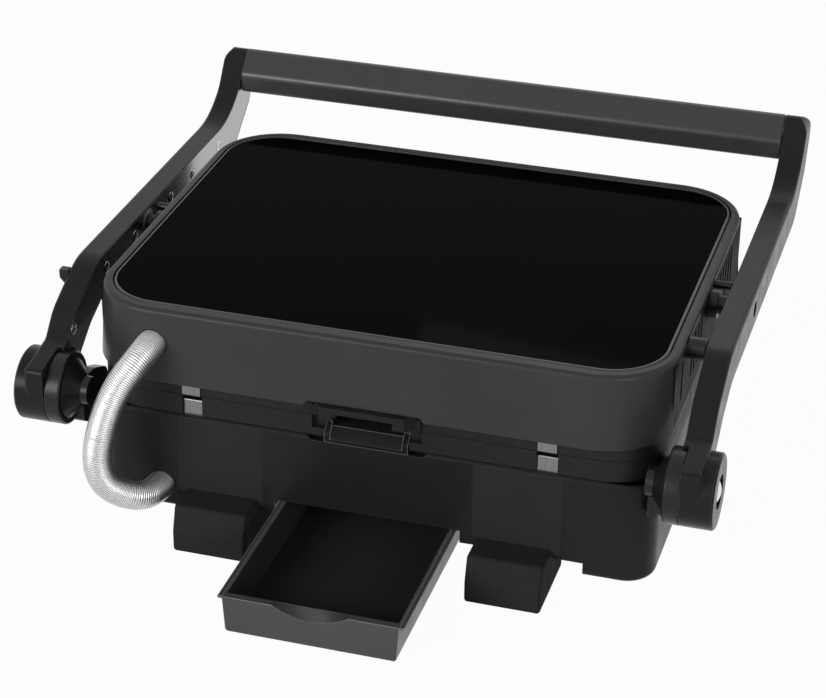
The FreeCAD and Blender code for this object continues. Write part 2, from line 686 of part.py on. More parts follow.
def pivot():
    collar = rod_x(8.7, side_x, collar_x, pivot_y, pivot_z).cut(under_rim())
    shaft = rod_x(pivot_r, collar_x, pivot_end, pivot_y, pivot_z)
    shaft = shaft.makeChamfer(0.8, edges_at_x(shaft, pivot_end))
    tail = rod_x(tail_r, side_in - 5, side_x, pivot_y, pivot_z)
    return collar.fuse([shaft, tail])


pivot_end = arm_x1 - arm_skin - 0.5


def pivot_nut():
    outline = [(pivot_y + 6 * math.cos(math.radians(a)), pivot_z + 6 * math.sin(math.radians(a)), 0)
               for a in range(0, 360, 60)]
    return along_x(outline, side_in - 4, side_in).cut(rod_x(tail_r, side_in - 5, side_in + 1, pivot_y, pivot_z))


def stud(y, z, r, tail):
    """Stud on the flat right side, with a tail through the panel."""
    x1 = arm_x0 - 0.7
    head = rod_x(r, side_x, x1, y, z)
    head = head.makeChamfer(0.8, edges_at_x(head, x1)).cut(under_rim())
    return head.fuse(rod_x(tail, side_in, side_x, y, z))


def stop_studs():
    small = stud(*stud_at, stud_r, stud_tail_r)
    return Part.makeCompound([stud(*stop_at, stop_r, stop_tail_r), small, mirrored(small)])


def ring_nut(y0, y1, r, x, z, bore):
    hexagon = [(x + r * math.cos(math.radians(a)), z + r * math.sin(math.radians(a)), 0)
               for a in range(0, 360, 60)]
    return along_y(hexagon, y0, y1).cut(rod_y(bore, y0 - 1, y1 + 1, x, z))


# ------------------------------------------------------------------ hubs and arms
rise_y = grip_y1 - 53.15     # the arm leaves its straight stretch for the grip
low_z = arm_top - arm_deep
arm_rear = hub_y - hub_r     # the block round the hub ends here
arm_line = [(arm_rear, hub_z, 0), (arm_rear, hub_z + 20.2, 3.5), (hub_y + 9.65, hub_z + 25.5, 5),
            (hub_y + 21.85, arm_top - 17.0, 30), (hub_y + 57.95, arm_top, 40), (rise_y, arm_top, 60),
            (grip_y1 - 31.95, grip_top - 24.3, 25), (grip_y1 - 14.25, grip_top, 6),
            (grip_y1, grip_top - 9.2, 8), (grip_y1, grip_top - 17.2, 11), (grip_y1 - 11.75, arm_top - 2.0, 5),
            (grip_y1 - 43.25, low_z, 30), (hub_y + 66.85, low_z, 40), (hub_y + 43.45, low_z - 9.8, 30),
            (hub_y + 21.25, hub_z + 5.3, 0), (hub_y, hub_z, 0)]
arm_screws_at = [(hub_y + 19.0, hub_z + 28.6)]
arm_screws_at += [(pivot_y + y, arm_top - 11.0) for y in (-66.75, -21.75, 38.75, 76.25, 125.25)]
core_y, core_z = grip_y1 - 13.25, grip_top - 14.2
grip_y0 = grip_y1 - 28.0
grip_low = grip_top - 27.7
grip_line = [(grip_y0, grip_low, 3), (grip_y0, core_z, 7), (grip_y1 - 14.25, grip_top, 6),
             (grip_y1, grip_top - 9.2, 9), (grip_y1, grip_low, 8)]
grip_x = arm_x0 - 0.4       # half length of the grip bar, with a fine joint at each arm
core_r = 7.0
bush_r = 9.0
button_r = 6.0
button_x0 = cap_x1 - 7.8
button_travel = 4.0
recess_r = 10.0
recess_x = cap_x1 - 7.0
bore_x = cap_x1 - 4.5       # blind end of the pin's bore in the left cap
tab_y = hub_y + 50.25
tab_w = 4.5
tab_travel = 6.0
tab_out = 6.0               # the paddle stands out of the arm's face by this much
slot_z0 = arm_top - 17.0
slot_z1 = slot_z0 + 5.0
tab_z1 = slot_z0 + 12.4


horn_x0 = hub_x0 - 11.9     # narrow end of the horn between hub and base
horn_x1 = hub_x0 - 7.9      # the flare starts here
horn_r = 8.5


def hinge_bracket():
    disc = rod_x(hub_r, hub_x0, hub_x1, hub_y, hub_z)
    disc = disc.makeChamfer(1.0, edges_at_x(disc, hub_x0))
    neck = along_x([(hub_y - 1, hub_z + 7.1, 4), (hub_y + 18.0, hub_z + 5.2, 14), (hub_y + 34.25, hub_z - 1.8, 7),
                    (hub_y + 38.75, hub_z - 12.1, 8), (hub_y + 38.75, bracket_z, 2), (hub_y + 12.25, bracket_z, 4),
                    (hub_y - 1, hub_z - 21.1, 4)], bracket_out, hub_x0)
    foot = box(bracket_x + 0.2, bracket_out, rear_y + 0.3, bracket_y1 - 0.3, bracket_z, hub_z - 15.6)
    flare = hub_x0 - horn_x1
    cone = Part.makeCone(horn_r, horn_r + flare + 1.5, flare, V(horn_x1, hub_y, hub_z), V(1, 0, 0))
    horn = cone.fuse(rod_x(horn_r, horn_x0, horn_x1, hub_y, hub_z))
    body = disc.fuse([neck, foot, horn])
    return body.cut(rod_x(pin_r, horn_x0 - 1, hub_x1 + 1, hub_y, hub_z)).removeSplitter()


def hinge_pin(x1):
    pin = rod_x(pin_r, horn_x0, x1, hub_y, hub_z)
    return pin.makeChamfer(0.8, edges_at_x(pin, x1))


def washer():
    return rod_x(20.0, hub_x1, cap_x0 - 0.1, hub_y, hub_z).cut(rod_x(pin_r, hub_x1 - 1, cap_x0, hub_y, hub_z))


def arm_body():
    """Outer moulding of the right arm with its hub cap, open towards the lid."""
    prism = along_x(arm_line, arm_x0, arm_x1)
    edges = [e for e in edges_at_x(prism, arm_x1)
             if e.BoundBox.YMax > arm_rear + 2 and e.BoundBox.ZMin > hub_z + 5.3]
    prism = prism.makeFillet(arm_edge_r, edges)
    corner = box(arm_x1 - shoulder_r, arm_x1 + 1, rise_y, grip_y1 + 1, grip_top - shoulder_r, grip_top + 1)
    corner = corner.cut(rod_y(shoulder_r, rise_y - 1, grip_y1 + 2, arm_x1 - shoulder_r, grip_top - shoulder_r))
    hollow = along_x(inset(arm_line, arm_skin), arm_x0, arm_x1 - arm_skin)
    hollow = hollow.common(box(arm_x0 - 1, arm_x1, hub_y + 26.25, grip_y1 - 30.75, 0, grip_top))
    rebate = along_x(inset(arm_line, 1.0), arm_x0 - 1, arm_x0 + arm_plate_t)
    rebate = rebate.common(box(arm_x0 - 2, arm_x1, hub_y + 12.25, grip_y1, 0, grip_top))
    bosses = [rod_x(4.0, arm_x0 + arm_plate_t, arm_x1 - arm_skin, y, z) for y, z in arm_screws_at[1:]]
    bosses.append(rod_x(bush_r + 2, arm_x0 + arm_plate_t, arm_x1 - arm_skin, pivot_y, pivot_z))
    body = prism.cut([corner, hollow, rebate]).fuse(bosses)
    body = body.cut(rod_x(hub_r + 0.5, arm_x0 - 1, cap_x0, hub_y, hub_z))
    body = body.cut(box(arm_x0 - 1, cap_x0, arm_rear - 1, hub_y + 3.25, hub_z - 1, hub_z + 32.9))
    cap = rod_x(hub_r, cap_x0, cap_x1, hub_y, hub_z)
    cap = cap.makeChamfer(1.1, edges_at_x(cap, cap_x1))
    body = body.fuse(cap).removeSplitter()
    bores = [rod_x(bush_r, arm_x0 - 1, arm_x1 - arm_skin, pivot_y, pivot_z)]
    bores.append(rod_x(5.0, arm_x0 + 5, arm_x1 + 1, pivot_y, pivot_z))
    bores += [rod_x(2.0, arm_x0 - 1, arm_x0 + 6, y, z) for y, z in arm_screws_at]
    bores.append(rod_x(core_r, arm_x0 - 1, arm_x0 + 7, core_y, core_z))
    return body.cut(bores)


def arm_plate():
    plate = along_x(inset(arm_line, 1.0), arm_x0, arm_x0 + arm_plate_t)
    plate = plate.common(box(arm_x0 - 2, arm_x1, hub_y + 12.25, grip_y1, 0, grip_top))
    plate = plate.cut(rod_x(hub_r + 2.5, arm_x0 - 1, cap_x0, hub_y, hub_z))
    holes = [rod_x(bush_r, arm_x0 - 1, cap_x0, pivot_y, pivot_z)]
    holes.append(rod_x(core_r, arm_x0 - 1, cap_x0, core_y, core_z))
    holes += [rod_x(3.8, arm_x0 - 1, cap_x0, y, z) for y, z in arm_screws_at]
    return plate.cut(holes)


def arm_screws():
    out = []
    for y, z in arm_screws_at:
        head = rod_x(3.8, arm_x0 - 0.3, arm_x0 + arm_plate_t, y, z)
        out.append(head.fuse(rod_x(2.0, arm_x0 + arm_plate_t, arm_x0 + 6, y, z)))
    return Part.makeCompound(out)


def bush():
    body = rod_x(bush_r, arm_x0, arm_x1 - arm_skin, pivot_y, pivot_z)
    return body.cut(rod_x(pivot_r + fit, arm_x0 - 1, arm_x1, pivot_y, pivot_z))


def release_button():
    x1 = cap_x1 - 1.0
    stem = rod_x(button_r, button_x0, x1, hub_y, hub_z)
    dome_r = 11.0
    ball = Part.makeSphere(dome_r, V(x1 - math.sqrt(dome_r ** 2 - button_r ** 2), hub_y, hub_z))
    dome = ball.common(rod_x(button_r, x1 - 0.5, x1 + dome_r, hub_y, hub_z))
    return stem.fuse(dome).removeSplitter()


def lock_tab():
    """Sliding catch of the left arm, drawn on the right and mirrored."""
    x0 = arm_x1 - arm_skin
    y0, y1 = tab_y - tab_w / 2, tab_y + tab_w / 2
    paddle = along_y([(arm_x1 + 0.1, slot_z0, 0), (arm_x1 + 0.1, tab_z1, 0.5), (arm_x1 + tab_out, tab_z1, 0.5),
                      (arm_x1 + tab_out, tab_z1 - 5.5, 2.0)], y0, y1)
    stem = box(x0 - 0.4, arm_x1 + 0.6, tab_y - 2, tab_y + 2, slot_z0 + 0.3, slot_z1 - 0.3)
    foot = box(x0 - 1.6, x0 - 0.1, tab_y - 4.5, tab_y + 4.5, slot_z0 - 2, slot_z1 - 0.3)
    return paddle.fuse([stem, foot]).removeSplitter()


# ------------------------------------------------------------------ drip tray
def drip_tray():
    """Folded tray with side lips; the finger recess is pressed into the front wall only."""
    y0 = rear_y - tray_out
    y1 = y0 + tray_len
    half = tray_w / 2 - tray_lip
    foot = half - tray_draft
    t = tray_wall
    outer = along_y([(-foot, tray_z0, 2.0), (foot, tray_z0, 2.0), (half, tray_z1, 0), (-half, tray_z1, 0)], y0, y1)
    inner = along_y([(-foot + t, tray_z0 + t, 1.5), (foot - t, tray_z0 + t, 1.5), (half - t, tray_z1 + 1, 0),
                     (-half + t, tray_z1 + 1, 0)], y0 + tray_front, y1 - t)
    lips = box(half - 0.5, tray_w / 2, y0, y1, tray_z1 - 1.2, tray_z1)
    body = outer.cut(inner).fuse([lips, mirrored(lips)])
    slope = scoop_h / (tray_front - 0.6)
    scoop = rod_y(scoop_r, -1, tray_front, 0, scoop_r)
    scoop.rotate(V(0, 0, 0), V(1, 0, 0), math.degrees(math.atan(slope)))
    scoop.translate(V(0, y0, tray_z1 - scoop_h))
    return body.cut(scoop).removeSplitter()


# ------------------------------------------------------------------ controls and wiring fittings
def control_panel():
    plate = box(-panel_w / 2, panel_w / 2, base_y1 - panel_t, base_y1, panel_z - panel_h / 2, panel_z + panel_h / 2)
    cuts = [rod_y(shaft_r + 1, base_y1 - 3, base_y1 + 1, 0, panel_z)]
    cuts += [rod_y(lamp_r - 0.5, base_y1 - 3, base_y1 + 1, s * lamp_x, panel_z) for s in (-1, 1)]
    return plate.cut(cuts)


def dial():
    y0 = base_y1 + 0.1
    body = rod_y(dial_r, y0, y0 + dial_h, 0, panel_z)
    body = body.makeChamfer(1.2, [e for e in body.Edges if abs(e.BoundBox.YMin - y0 - dial_h) < 1e-4])
    grip_at = dial_r + 1.2
    grips = [rod_y(2.2, y0 + 4, y0 + dial_h + 1, grip_at * math.cos(a), panel_z + grip_at * math.sin(a))
             for a in [k * math.pi / 4 for k in range(8)]]
    mark = box(-0.8, 0.8, y0 + dial_h - 0.6, y0 + dial_h + 1, panel_z + 5, panel_z + dial_r + 1)
    shaft = rod_y(shaft_r, base_y1 - base_wall - 8, y0 + 1, 0, panel_z)
    return body.cut(grips + [mark]).fuse(shaft)


def thermostat():
    y1 = base_y1 - base_wall
    body = box(-14, 14, y1 - 22, y1, panel_z - 13, panel_z + 13)
    return body.cut(rod_y(shaft_r + fit, y1 - 9, y1 + 1, 0, panel_z))


def lamp():
    lens = rod_y(lamp_r, base_y1, base_y1 + 1.6, lamp_x, panel_z)
    lens = lens.makeChamfer(0.7, [e for e in lens.Edges if abs(e.BoundBox.YMin - base_y1 - 1.6) < 1e-4])
    return lens.fuse(rod_y(lamp_r - 0.5, base_y1 - base_wall - 6, base_y1, lamp_x, panel_z))


def terminal_block():
    z0 = under_z + cover_t
    x0 = -base_w / 2 + 18
    block = box(x0, x0 + 40, gland_y + 110.25, gland_y + 128.25, z0, z0 + 12)
    return block.cut([rod_z(2.4, z0 + 5, z0 + 13, x0 + 7 + k * 13, gland_y + 119.25) for k in range(3)])


def cord_gland():
    x0 = -base_w / 2
    body = rod_x(gland_r + 2.5, x0 - 3, x0, gland_y, gland_z)
    body = body.makeChamfer(0.8, edges_at_x(body, x0 - 3))
    body = body.fuse(rod_x(gland_r, x0, x0 + base_wall + 3, gland_y, gland_z))
    return body.cut(rod_x(3.6, x0 - 4, x0 + base_wall + 4, gland_y, gland_z))


def cover_screws():
    out = []
    for x, y in screw_spots:
        for s in ((-1, 1) if x else (1,)):
            out.append(rod_z(3.5, under_z - 1.2, under_z, s * x, y))
    return Part.makeCompound(out)


conduit_points = [(conduit_x, lid_in_y + 2, conduit_z1), (conduit_x, -131.5, conduit_z1),
                  (conduit_x - 12.0, -145.0, 111.0), (conduit_x - 20.5, -149.5, 86.0),
                  (conduit_x - 25.5, -149.0, 60.0), (conduit_x - 20.0, -143.0, 40.0),
                  (conduit_x, -130.0, conduit_z0), (conduit_x, rear_y + base_wall, conduit_z0)]

# ------------------------------------------------------------------ write everything
save("base_housing", housing())
foot = rear_foot()
save("rear_foot_right", foot)
save("rear_foot_left", mirrored(foot))
save("front_foot_right", front_foot())
save("front_foot_left", mirrored(front_foot()))
save("foot_pads", foot_pads())
save("bottom_cover", bottom_cover())
save("cover_screws", cover_screws())
save("tray_tunnel", tray_tunnel())
save("lower_plate", lower_plate())
save("spout_trough", spout_trough())
save("lower_element", element(cook_low - pan_t - element_r, ledge_z - 12))
save("lower_reflector", lower_reflector())
save("lower_clip_right", lower_clip())
save("lower_clip_left", mirrored(lower_clip()))
bracket = hinge_bracket()
save("hinge_bracket_right", bracket)
save("hinge_bracket_left", mirrored(bracket))
save("hinge_pin_right", hinge_pin(cap_x1 - 12.6))
save("hinge_pin_left", mirrored(hinge_pin(bore_x - 0.5)))
save("hinge_washers", both(washer()))
save("terminal_block", terminal_block())
save("thermostat", thermostat())
save("control_panel", control_panel())
save("pilot_lamps", both(lamp()))
save("cord_gland", cord_gland())
conduit, radii = tube(conduit_points, conduit_r)
save("conduit", conduit)
print("conduit bend radii, mm:", radii)
nut = ring_nut(rear_y + base_wall, rear_y + base_wall + 4, 13.5, *conduit_low, conduit_r - 2)
save("conduit_nut_base", nut.cut(box(-base_w / 2, 0, rear_y, rear_y + 20, 0, under_z + cover_t + 2.5)))
save("temperature_dial", dial())
save("drip_tray", drip_tray())
arm = arm_body()
pin_bore = rod_x(pin_r + fit, cap_x0 - 1, bore_x, hub_y, hub_z)
recess = rod_x(recess_r, recess_x, cap_x1 + 1, hub_y, hub_z)
save("arm_shell_right", arm.cut([rod_x(pin_r + fit, cap_x0 - 1, recess_x + 1, hub_y, hub_z), recess]))
tab_slot = box(arm_x1 - arm_skin - 1, arm_x1 + 1, tab_y - 2.2, tab_y + 2.2 + tab_travel, slot_z0, slot_z1)
save("arm_shell_left", mirrored(arm.cut([pin_bore, tab_slot])))
save("arm_inner_plate_right", arm_plate())
save("arm_inner_plate_left", mirrored(arm_plate()))
save("arm_screws", both(arm_screws()))
save("pivot_bush_right", bush())
save("pivot_bush_left", mirrored(bush()))
save("release_button", release_button())
save("lock_tab", mirrored(lock_tab()))
sleeve = along_x(grip_line, -grip_x, grip_x)
sleeve = sleeve.makeFillet(1.2, edges_at_x(sleeve, -grip_x) + edges_at_x(sleeve, grip_x))
save("grip_sleeve", sleeve.cut(rod_x(core_r, -arm_x0 - 1, arm_x0 + 1, core_y, core_z)))
core = rod_x(core_r, -arm_x0 - 7, arm_x0 + 7, core_y, core_z)
save("grip_core", core.cut(rod_x(core_r - 1.5, -arm_x0 - 8, arm_x0 + 8, core_y, core_z)))
save("lid_shell", lid_shell())
save("lid_side_right", lid_side([(*stop_at, stop_tail_r), (*stud_at, stud_tail_r)]))
save("lid_side_left", mirrored(lid_side([(*stud_at, stud_tail_r)])))
save("lid_glass", lid_glass())
save("lid_trim", lid_trim())
save("upper_plate", upper_plate())
save("spout_hood", spout_hood())
save("upper_element", element(cook_up + pan_t + element_r, upper_z1 + 12))
shade_in = 2 * skirt_in + 0.6
save("upper_reflector", reflector(plate_w - shade_in, plate_d - shade_in, plate_r - shade_in / 2,
                                  upper_z1, plate_cy, element_bend + 1.5))
save("upper_clip_right", upper_clip())
save("upper_clip_left", mirrored(upper_clip()))
save("lid_pivot_right", pivot())
save("lid_pivot_left", mirrored(pivot()))
save("pivot_nuts", both(pivot_nut()))
save("stop_studs", stop_studs())
nut = ring_nut(lid_in_y, lid_in_y + 5, 13.5, *conduit_top, conduit_r + 0.4)
save("conduit_nut_lid", nut.common(rounded(lid_in_w, lid_in_d, lid_in_r, lid_z0, lid_z1, lid_cy)))
print("facets in all", save.total)
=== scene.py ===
"""Looks of the electric fish roaster: finishes, ribbed conduit, screw heads, drip tray, light and camera."""
import bpy
import bmesh
import json
import math
from mathutils import Matrix, Vector


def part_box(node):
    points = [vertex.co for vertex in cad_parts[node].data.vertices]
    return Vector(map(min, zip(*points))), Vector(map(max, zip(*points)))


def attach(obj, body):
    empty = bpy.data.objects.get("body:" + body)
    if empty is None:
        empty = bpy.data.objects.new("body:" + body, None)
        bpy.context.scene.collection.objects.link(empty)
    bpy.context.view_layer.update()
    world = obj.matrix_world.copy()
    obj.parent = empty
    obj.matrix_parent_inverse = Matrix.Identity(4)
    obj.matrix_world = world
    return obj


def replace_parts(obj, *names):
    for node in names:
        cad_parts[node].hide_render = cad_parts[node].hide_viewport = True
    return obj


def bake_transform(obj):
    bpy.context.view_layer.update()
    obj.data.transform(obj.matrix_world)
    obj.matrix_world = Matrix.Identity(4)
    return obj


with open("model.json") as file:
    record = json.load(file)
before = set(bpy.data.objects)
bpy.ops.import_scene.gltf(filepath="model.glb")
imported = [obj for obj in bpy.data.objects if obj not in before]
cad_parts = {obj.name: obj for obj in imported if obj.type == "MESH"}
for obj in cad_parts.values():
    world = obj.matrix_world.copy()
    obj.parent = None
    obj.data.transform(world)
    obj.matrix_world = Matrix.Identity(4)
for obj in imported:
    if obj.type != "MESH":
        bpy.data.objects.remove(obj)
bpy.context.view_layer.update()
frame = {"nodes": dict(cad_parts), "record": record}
nodes = frame["nodes"]
scene = bpy.context.scene
MM = 0.001


# ------------------------------------------------------------------ node material helpers
MIX_FACTOR, MIX_A, MIX_B, MIX_RESULT = 0, 6, 7, 2     # the colour sockets of a Mix node
# Where the painted edge highlight is full and where it ends.
FULL_HIGHLIGHT_COS, NO_HIGHLIGHT_COS = 0.90, 0.99                        # cosines between the rounded and the flat normal


def grey(value):
    return (value, value, value)


class Tree:
    """A material's node tree, with short calls for the nodes that every material here uses."""

    def __init__(self, name):
        self.material = bpy.data.materials.new(name)
        self.material.use_nodes = True
        self.tree = self.material.node_tree
        self.shader = self.tree.nodes["Principled BSDF"]
        self.place = self.add("ShaderNodeTexCoord").outputs["Object"]

    def add(self, kind, **values):
        node = self.tree.nodes.new(kind)
        for key, value in values.items():
            if key in node.inputs:
                node.inputs[key].default_value = value
            else:
                setattr(node, key, value)
        return node

    def link(self, source, target):
        self.tree.links.new(source, target)

    def stretched(self, scale):
        """Object coordinates scaled by axis."""
        node = self.add("ShaderNodeMapping")
        node.inputs["Scale"].default_value = scale
        self.link(self.place, node.inputs["Vector"])
        return node.outputs["Vector"]

    def noise(self, scale, detail=3.0, rough=0.5, vector=None):
        node = self.add("ShaderNodeTexNoise", Scale=scale, Detail=detail, Roughness=rough)
        self.link(vector or self.place, node.inputs["Vector"])
        return node.outputs["Fac"]

    def ramp(self, source, low, high, start=0.0, end=1.0):
        """Maps a factor onto two numbers or two colours."""
        if isinstance(low, (int, float)):
            node = self.add("ShaderNodeMapRange")
            node.inputs["From Min"].default_value = start
            node.inputs["From Max"].default_value = end
            node.inputs["To Min"].default_value = low
            node.inputs["To Max"].default_value = high
            self.link(source, node.inputs["Value"])
            return node.outputs["Result"]
        node = self.add("ShaderNodeValToRGB")
        node.color_ramp.elements[0].position = start
        node.color_ramp.elements[1].position = end
        node.color_ramp.elements[0].color = (*low, 1)
        node.color_ramp.elements[1].color = (*high, 1)
        self.link(source, node.inputs["Fac"])
        return node.outputs["Color"]

    def bump(self, height, strength, distance, normal=None):
        node = self.add("ShaderNodeBump", Strength=strength, Distance=distance)
        self.link(height, node.inputs["Height"])
        if normal is not None:
            self.link(normal, node.inputs["Normal"])
        return node.outputs["Normal"]

    def bevel(self, radius):
        return self.add("ShaderNodeBevel", Radius=radius, samples=6).outputs["Normal"]

    def shifted(self, color, shade, factor):
        """The colour, shifted to a grey by a factor that varies."""
        mix = self.add("ShaderNodeMix", data_type="RGBA")
        mix.inputs[MIX_B].default_value = (*grey(shade), 1)
        self.link(factor, mix.inputs[MIX_FACTOR])
        self.link(color, mix.inputs[MIX_A])
        return mix.outputs[MIX_RESULT]

    def painted_edge_highlight(self, color, soft, glint):
        """Painted highlight on edges: the colour shifts to glint where the rounded normal leaves the face's
        own.
        """
        turn = self.add("ShaderNodeVectorMath", operation="DOT_PRODUCT")
        self.link(soft, turn.inputs[0])
        self.link(self.add("ShaderNodeNewGeometry").outputs["True Normal"], turn.inputs[1])
        return self.shifted(color, glint, self.ramp(turn.outputs["Value"], 1.0, 0.0, FULL_HIGHLIGHT_COS, NO_HIGHLIGHT_COS))

    def finish(self, color=None, rough=None, normal=None, **values):
        for key, value in values.items():
            self.shader.inputs[key].default_value = value
        if color is not None:
            self.link(color, self.shader.inputs["Base Color"])
        if rough is not None:
            self.link(rough, self.shader.inputs["Roughness"])
        if normal is not None:
            self.link(normal, self.shader.inputs["Normal"])
        return self.material


def moulded(name, shade, rough, grain=1400.0, relief=0.00006, edge=0.5, ior=1.18, glint=None):
    """Moulded plastic: a fine eroded grain, faint flow clouds, and edges rounded as a tool leaves them."""
    t = Tree(name)
    low = (0.92 * shade, 0.92 * shade, 0.93 * shade)
    high = (1.08 * shade, 1.08 * shade, 1.09 * shade)
    color = t.ramp(t.noise(14.0, 4.0), low, high, 0.3, 0.7)
    roughness = t.ramp(t.noise(60.0, 3.0), rough - 0.04, rough + 0.05, 0.3, 0.7)
    soft = t.bevel(edge * MM)
    # A glint paints a highlight along the edges.
    if glint is not None:
        color = t.painted_edge_highlight(color, soft, glint)
    return t.finish(color, roughness, t.bump(t.noise(grain, 2.0, 0.6), 0.35, relief, soft), IOR=ior)


def brushed(name, dark, light, rough, along, edge=0.25, relief=0.04):
    """Steel brushed along one axis."""
    t = Tree(name)
    stretch = [3600.0, 3600.0, 3600.0]
    stretch["XYZ".index(along)] = 18.0
    lines = t.noise(1.0, 2.0, 0.7, t.stretched(stretch))
    color = t.ramp(lines, dark, light, 0.25, 0.75)
    roughness = t.ramp(lines, rough - 0.06, rough + 0.08, 0.2, 0.8)
    normal = t.bump(lines, relief, 0.00002, t.bevel(edge * MM))
    return t.finish(color, roughness, normal, Metallic=1.0)


def coated_cast():
    """Non-stick coating on cast aluminium: pebbled, with tiny pale flecks."""
    t = Tree("non_stick")
    flecks = t.noise(900.0, 1.0, 0.4)
    color = t.ramp(flecks, grey(0.018), grey(0.034), 0.60, 0.82)
    roughness = t.ramp(t.noise(120.0, 3.0), 0.42, 0.58, 0.3, 0.7)
    normal = t.bump(t.noise(650.0, 2.0, 0.6), 0.45, 0.00012, t.bevel(0.5 * MM))
    return t.finish(color, roughness, normal, IOR=1.22)


def black_glass():
    """Opaque tempered glass with a very slight roller wave."""
    t = Tree("black_glass")
    wave = t.noise(1.0, 1.0, 0.4, t.stretched((3.0, 9.0, 3.0)))
    color = t.ramp(t.noise(5.0), (0.0008, 0.0008, 0.0009), (0.0013, 0.0013, 0.0014), 0.3, 0.7)
    roughness = t.ramp(t.noise(40.0, 2.0), 0.035, 0.06, 0.3, 0.7)
    return t.finish(color, roughness, t.bump(wave, 0.02, 0.0002), IOR=1.04)


def rubber():
    t = Tree("rubber")
    color = t.ramp(t.noise(80.0), grey(0.012), grey(0.022), 0.3, 0.7)
    roughness = t.ramp(t.noise(200.0), 0.75, 0.9, 0.3, 0.7)
    return t.finish(color, roughness, t.bump(t.noise(1500.0), 0.3, 0.00005, t.bevel(0.4 * MM)))


def ceramic():
    t = Tree("ceramic")
    color = t.ramp(t.noise(120.0), (0.70, 0.67, 0.60), (0.80, 0.78, 0.72), 0.3, 0.7)
    normal = t.bump(t.noise(900.0), 0.2, 0.00005, t.bevel(0.4 * MM))
    return t.finish(color, t.ramp(t.noise(300.0), 0.5, 0.65), normal)


def nylon():
    t = Tree("nylon")
    color = t.ramp(t.noise(60.0), (0.50, 0.49, 0.45), (0.58, 0.57, 0.53), 0.3, 0.7)
    normal = t.bump(t.noise(900.0), 0.1, 0.00003, t.bevel(0.3 * MM))
    return t.finish(color, t.ramp(t.noise(200.0), 0.4, 0.55), normal)


def red_lens():
    t = Tree("red_lens")
    rings = t.noise(700.0, 1.0)
    color = t.ramp(rings, (0.22, 0.008, 0.006), (0.42, 0.02, 0.015), 0.3, 0.7)
    return t.finish(color, t.ramp(rings, 0.12, 0.22), t.bump(rings, 0.2, 0.00005, t.bevel(0.3 * MM)))


def heater():
    t = Tree("element_sheath")
    bands = t.noise(35.0, 4.0)
    color = t.ramp(bands, (0.10, 0.085, 0.075), (0.26, 0.24, 0.22), 0.3, 0.7)
    return t.finish(color, t.ramp(bands, 0.4, 0.6), t.bump(t.noise(600.0), 0.2, 0.00005), Metallic=1.0)


def polished():
    t = Tree("polished_chrome")
    haze = t.noise(90.0, 3.0)
    color = t.ramp(haze, (0.70, 0.70, 0.71), (0.80, 0.80, 0.81), 0.3, 0.7)
    normal = t.bump(haze, 0.03, 0.00005, t.bevel(0.4 * MM))
    return t.finish(color, t.ramp(haze, 0.08, 0.16), normal, Metallic=1.0)


def conduit_metal():
    """Bright wound strip: pale crests, and painted shade in the grooves, set by an attribute of the mesh."""
    t = Tree("conduit_strip")
    streaks = t.noise(500.0, 3.0, 0.6)
    crest = t.ramp(streaks, (0.66, 0.66, 0.67), grey(0.86), 0.3, 0.7)
    groove_shade = t.add("ShaderNodeAttribute", attribute_name="groove_shade").outputs["Fac"]
    # The grooves are painted dark grey as painted shade.
    color = t.shifted(crest, 0.07, groove_shade)
    return t.finish(color, t.ramp(streaks, 0.28, 0.42), t.bump(streaks, 0.1, 0.00003), Metallic=1.0)


MATERIALS = {
    "moulded_black": moulded("moulded_black", 0.008, 0.30, ior=1.35, glint=0.06),
    "lid_grey": moulded("lid_grey", 0.042, 0.33, relief=0.00004, ior=1.25),
    "glass_black": black_glass(),
    "trim_dark": moulded("trim_bead", 0.06, 0.25, 600.0, 0.00002, 0.3, 1.4),
    "plate_coat": coated_cast(),
    "element_steel": heater(),
    "sheet_steel": brushed("sheet_steel", grey(0.45), grey(0.58), 0.38, "X"),
    "bright_steel": brushed("bright_steel", (0.58, 0.58, 0.59), (0.74, 0.74, 0.75), 0.26, "Y"),
    "button_chrome": polished(),
    "conduit_metal": conduit_metal(),
    "pad_rubber": rubber(),
    "lens_red": red_lens(),
    "ceramic_white": ceramic(),
    "bush_nylon": nylon(),
}
for part in frame["record"]["subparts"]:
    mesh = nodes[part["node"]].data
    mesh.materials.clear()
    mesh.materials.append(MATERIALS[part["material_slot"]])


def dress(material, *names):
    """Gives CAD nodes a finish of their own in place of their slot's."""
    for name in names:
        nodes[name].data.materials[0] = material


base_finish = moulded("base_moulding", 0.016, 0.34, ior=1.20, glint=0.06)
dress(base_finish, "base_housing")
dress(moulded("arm_moulding", 0.014, 0.28, ior=1.22, glint=0.10), "arm_shell_left", "arm_shell_right")
dress(moulded("grip_moulding", 0.042, 0.28, ior=1.42), "grip_sleeve")
dress(moulded("side_moulding", 0.014, 0.45, ior=1.06), "lid_side_left", "lid_side_right")
dress(moulded("foot_moulding", 0.032, 0.45, ior=1.02, glint=0.06), "rear_foot_left", "rear_foot_right")
dress(moulded("spout_moulding", 0.010, 0.30, ior=1.20, glint=0.40), "spout_trough")
# The clips' steel is darkened as a painted reflection of dark surroundings.
dress(brushed("clip_steel_painted_reflection", grey(0.13), grey(0.27), 0.30, "Z", relief=0.1),
      "lower_clip_left", "lower_clip_right", "upper_clip_left", "upper_clip_right")
# The tunnel's steel is darkened to near black as painted shade under the base.
dress(brushed("tunnel_steel_shaded", grey(0.02), grey(0.035), 0.5, "Y"), "tray_tunnel")
dress(brushed("plate_steel", grey(0.33), grey(0.40), 0.24, "Y", relief=0.01),
      "arm_inner_plate_left", "arm_inner_plate_right")
dress(MATERIALS["moulded_black"], "hinge_pin_left", "hinge_pin_right")


# ------------------------------------------------------------------ mesh helpers
def placed(name, mesh, body, slot, material=None):
    """Makes a mesh a piece that rides on a CAD body; with no body it's left unattached."""
    piece = bpy.data.objects.new(name, mesh)
    scene.collection.objects.link(piece)
    mesh.materials.append(material or MATERIALS[slot])
    if body:
        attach(piece, body)
    return piece


